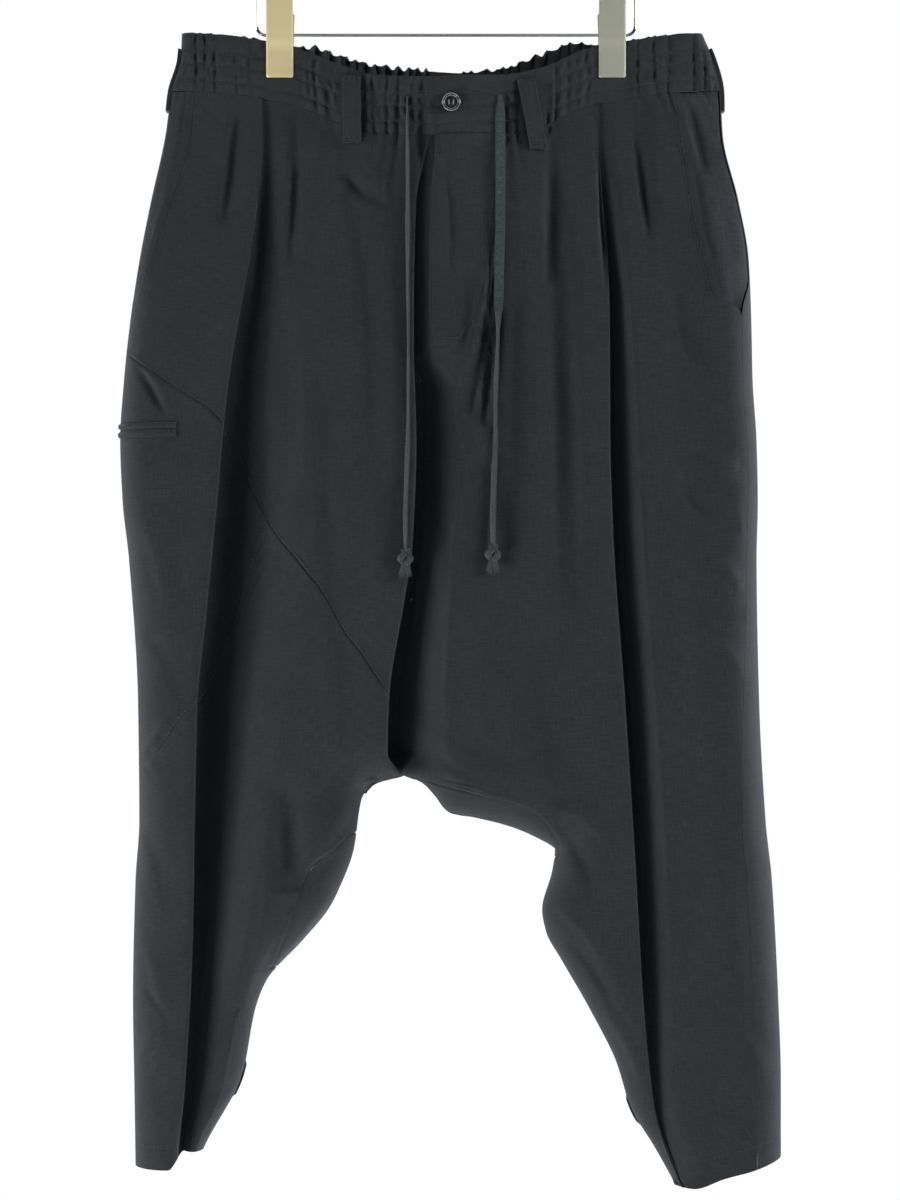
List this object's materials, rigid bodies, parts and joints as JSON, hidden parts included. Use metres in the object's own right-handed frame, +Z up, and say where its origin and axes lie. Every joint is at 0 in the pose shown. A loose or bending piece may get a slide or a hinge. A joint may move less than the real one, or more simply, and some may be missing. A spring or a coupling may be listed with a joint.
{
  "type": "harem pants on a clip hanger",
  "caption": "Loose dark cloth trousers with a gathered elastic waist, drawstring, slant pockets and tapering legs, hung from a wire hanger by two clips.",
  "frame": {"origin": "inside of the hanger hook's crown, where it rests on a rod", "axes": "+Z up, -Y out of the front of the trousers, +X to the right as seen from the front"},
  "size_m": [0.5159, 0.0959, 1.0497],
  "materials": {
    "cloth": "fine slubby plain weave, matt",
    "tape": "flat woven tape, matt",
    "button": "dark horn look, polished rim",
    "chrome": "polished wire",
    "clip_satin": "satin, warm",
    "clip_grained": "grained, matt silver"
  },
  "bodies": {
    "root": {"waistband_front_left": "cloth", "waistband_front_right": "cloth", "waistband_back": "cloth", "front_left_upper": "cloth", "thigh_panel_left": "cloth", "front_left_leg": "cloth", "front_right": "cloth", "back_left": "cloth", "back_right": "cloth", "gusset_left": "cloth", "gusset_right": "cloth", "pocket_facing_left": "cloth", "pocket_facing_right": "cloth", "side_pocket_welt": "cloth", "fly_placket": "cloth", "belt_loop_1": "cloth", "belt_loop_2": "cloth", "belt_loop_3": "cloth", "belt_loop_4": "cloth", "belt_loop_5": "cloth", "waist_button": "button", "drawstring_left": "tape", "drawstring_right": "tape", "knot_left": "tape", "knot_right": "tape", "hanger_frame": "chrome", "hanger_hook": "chrome", "hanger_sleeve": "chrome", "clip_left_front": "clip_satin", "clip_left_rear": "clip_satin", "clip_left_spring": "chrome", "clip_right_front": "clip_grained", "clip_right_rear": "clip_grained", "clip_right_spring": "chrome"}
  },
  "joints": []
}
